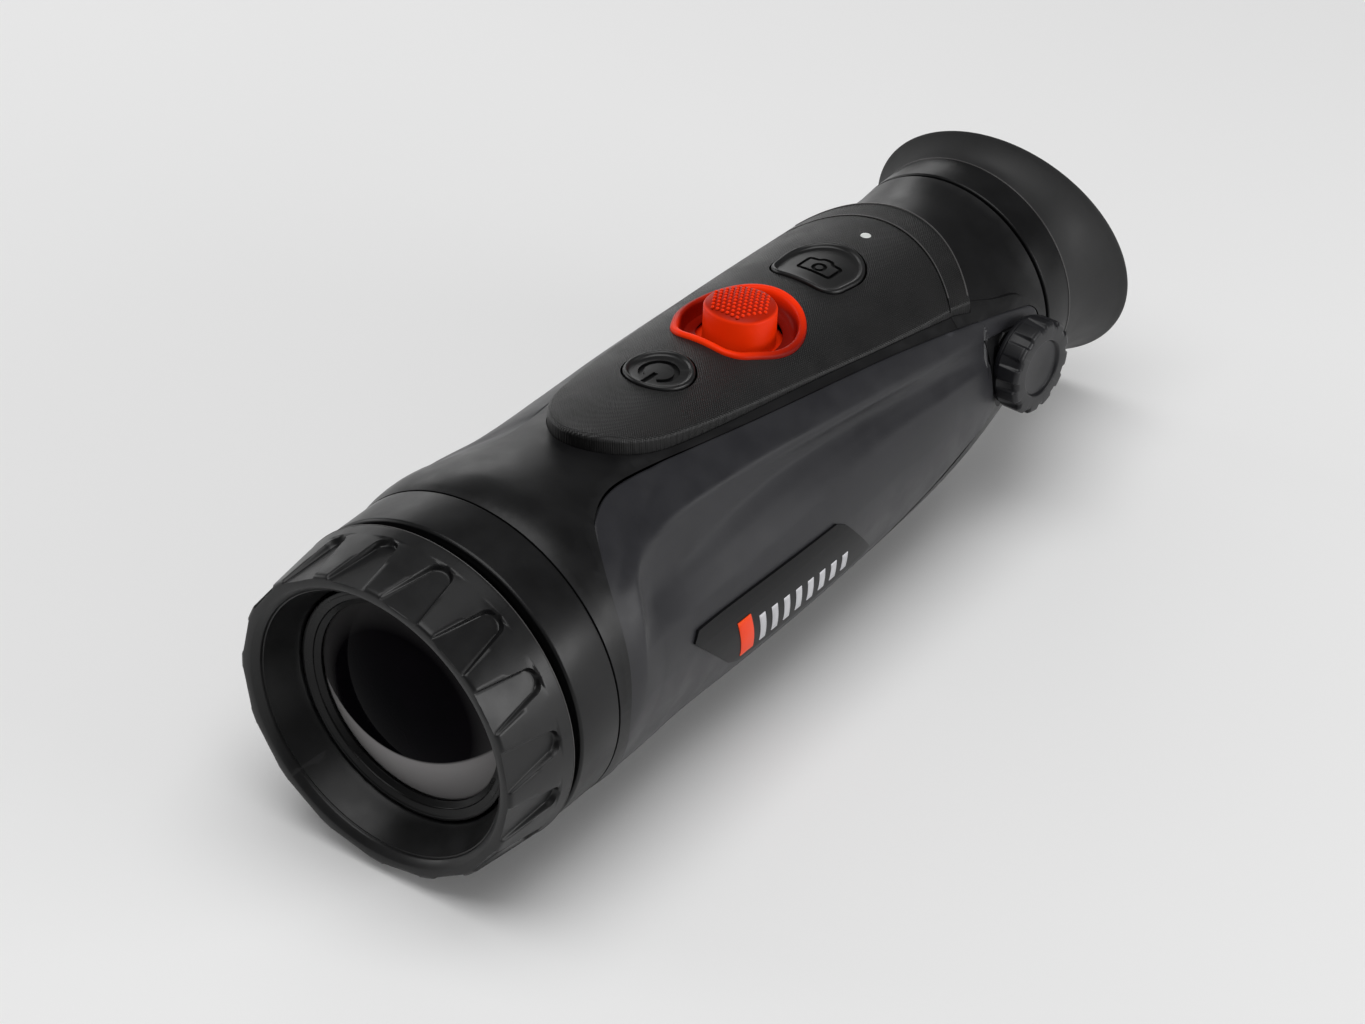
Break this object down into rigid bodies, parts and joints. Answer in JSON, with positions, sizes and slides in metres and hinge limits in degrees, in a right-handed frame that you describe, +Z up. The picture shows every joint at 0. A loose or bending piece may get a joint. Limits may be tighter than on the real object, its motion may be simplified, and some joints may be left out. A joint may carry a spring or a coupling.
{
  "type": "thermal imaging camera",
  "caption": "Hand-held thermal imaging monocular with a ribbed focus ring, top control panel with joystick and keys, side grips, diopter knob and slanted rubber eyecup.",
  "frame": {"origin": "mouth of the tripod socket, in the middle of the flat resting face under the body", "axes": "+Y along the optical axis towards the eyepiece, +X to the diopter knob's side, +Z up towards the control panel"},
  "size_m": [0.0696, 0.2181, 0.0715],
  "materials": {
    "housing": "satin moulded, near black",
    "panel": "fine woven micro-texture",
    "grip": "soft-touch, dark bluish grey",
    "ring": "moulded, satin",
    "anodised": "black anodised",
    "orange": "satin orange",
    "keys": "silicone keys",
    "badge": null,
    "eyecup": "matte moulded rubber",
    "seal": "o-ring",
    "germanium": "dark coated infrared lens",
    "eye_glass": "coated eyepiece glass",
    "knob": "satin",
    "steel": "plain",
    "brass": "plain",
    "board": "solder mask",
    "chips": "moulded packages",
    "cells": "sleeved cells",
    "frame_plastic": "plain",
    "light_guide": "clear white",
    "core_metal": "machined"
  },
  "bodies": {
    "housing": {"guide_barrel": "anodised", "front_barrel": "housing", "focus_seal": "seal", "main_housing": "housing", "control_panel": "panel", "grip_right": "grip", "grip_left": "grip", "badge_right": "badge", "badge_left": "badge", "base_plate": "frame_plastic", "base_screws": "steel", "tripod_insert": "brass", "usb_hinge_pin": "steel", "usb_connector": "steel", "usb_board": "board", "strap_lug": "steel", "joystick_bezel": "orange", "joystick_base": "frame_plastic", "status_led": "light_guide", "keypad_board": "board", "tact_switches": "chips", "keypad_screws": "steel", "main_board": "board", "main_chips": "chips", "heat_spreader": "core_metal", "core_bracket": "core_metal", "detector_package": "core_metal", "detector_board": "board", "shutter_motor": "core_metal", "display_board": "board", "display_module": "chips", "battery_cells": "cells", "battery_tray": "frame_plastic", "eyepiece_collar": "anodised", "eyecup_retainer": "anodised", "knob_bush": "brass"},
    "focus_ring": {"focus_ring": "ring", "cam_sleeve": "anodised"},
    "lens_group": {"lens_cell": "anodised", "lens_retaining_ring": "anodised", "front_lens": "germanium", "rear_lens": "germanium", "cam_pins": "steel"},
    "power_key": {"power_key": "keys"},
    "camera_key": {"camera_key": "keys"},
    "stick_carrier": {"joystick_carrier": "frame_plastic"},
    "stick_gimbal": {"joystick_gimbal": "frame_plastic"},
    "stick": {"joystick_stem": "frame_plastic", "joystick_cap": "orange"},
    "shutter": {"shutter_flag": "anodised"},
    "usb_cover": {"usb_cover": "keys"},
    "eyecup": {"eyecup": "eyecup"},
    "eyepiece_group": {"eyepiece_cell": "anodised", "eye_field_lens": "eye_glass", "eye_lens": "eye_glass", "eyepiece_retainer": "anodised", "diopter_rack": "frame_plastic"},
    "diopter_knob": {"diopter_knob": "knob", "diopter_shaft": "steel"}
  },
  "joints": [
    {"name": "focus_turn", "type": "hinge", "parent": "housing", "child": "focus_ring", "pos_m": [0, -0.085, 0.0355], "axis": [0, 1, 0], "range_deg": [-60, 60]},
    {"name": "focus_slide", "type": "slide", "parent": "housing", "child": "lens_group", "axis": [0, 1, 0], "range_m": [-0.00105, 0.00105]},
    {"name": "power_press", "type": "slide", "parent": "housing", "child": "power_key", "axis": [0, -0.071, -0.9975], "range_m": [0, 0.0004], "stiffness_N_per_m": 2500},
    {"name": "camera_press", "type": "slide", "parent": "housing", "child": "camera_key", "axis": [0, -0.071, -0.9975], "range_m": [0, 0.0004], "stiffness_N_per_m": 2500},
    {"name": "stick_press", "type": "slide", "parent": "housing", "child": "stick_carrier", "axis": [0, -0.071, -0.9975], "range_m": [0, 0.0004], "stiffness_N_per_m": 3500},
    {"name": "stick_fore_aft", "type": "hinge", "parent": "stick_carrier", "child": "stick_gimbal", "pos_m": [0, 0.01958, 0.05514], "axis": [1, 0, 0], "range_deg": [-4, 4], "stiffness_Nm_per_rad": 0.5},
    {"name": "stick_side", "type": "hinge", "parent": "stick_gimbal", "child": "stick", "pos_m": [0, 0.01958, 0.05514], "axis": [0, 0.9975, -0.071], "range_deg": [-4, 4], "stiffness_Nm_per_rad": 0.5},
    {"name": "shutter_swing", "type": "hinge", "parent": "housing", "child": "shutter", "pos_m": [0.014, -0.04685, 0.0215], "axis": [0, 1, 0], "range_deg": [-60, 0]},
    {"name": "usb_cover_hinge", "type": "hinge", "parent": "housing", "child": "usb_cover", "pos_m": [0, 0.0486, 0.0033], "axis": [-1, 0, 0], "range_deg": [0, 100]},
    {"name": "eyecup_turn", "type": "hinge", "parent": "housing", "child": "eyecup", "pos_m": [0, 0.108, 0.0355], "axis": [0, 1, 0], "continuous": true},
    {"name": "diopter_turn", "type": "hinge", "parent": "housing", "child": "diopter_knob", "pos_m": [0.03, 0.081, 0.0355], "axis": [1, 0, 0], "range_deg": [-37, 37]},
    {"name": "diopter_slide", "type": "slide", "parent": "housing", "child": "eyepiece_group", "axis": [0, 1, 0], "range_m": [-0.00206, 0.00206]}
  ],
  "couplings": [
    {"joint": "focus_slide", "follows": "focus_turn", "m_per_rad": -0.00095},
    {"joint": "diopter_turn", "follows": "diopter_slide", "rad_per_m": -312.5}
  ]
}
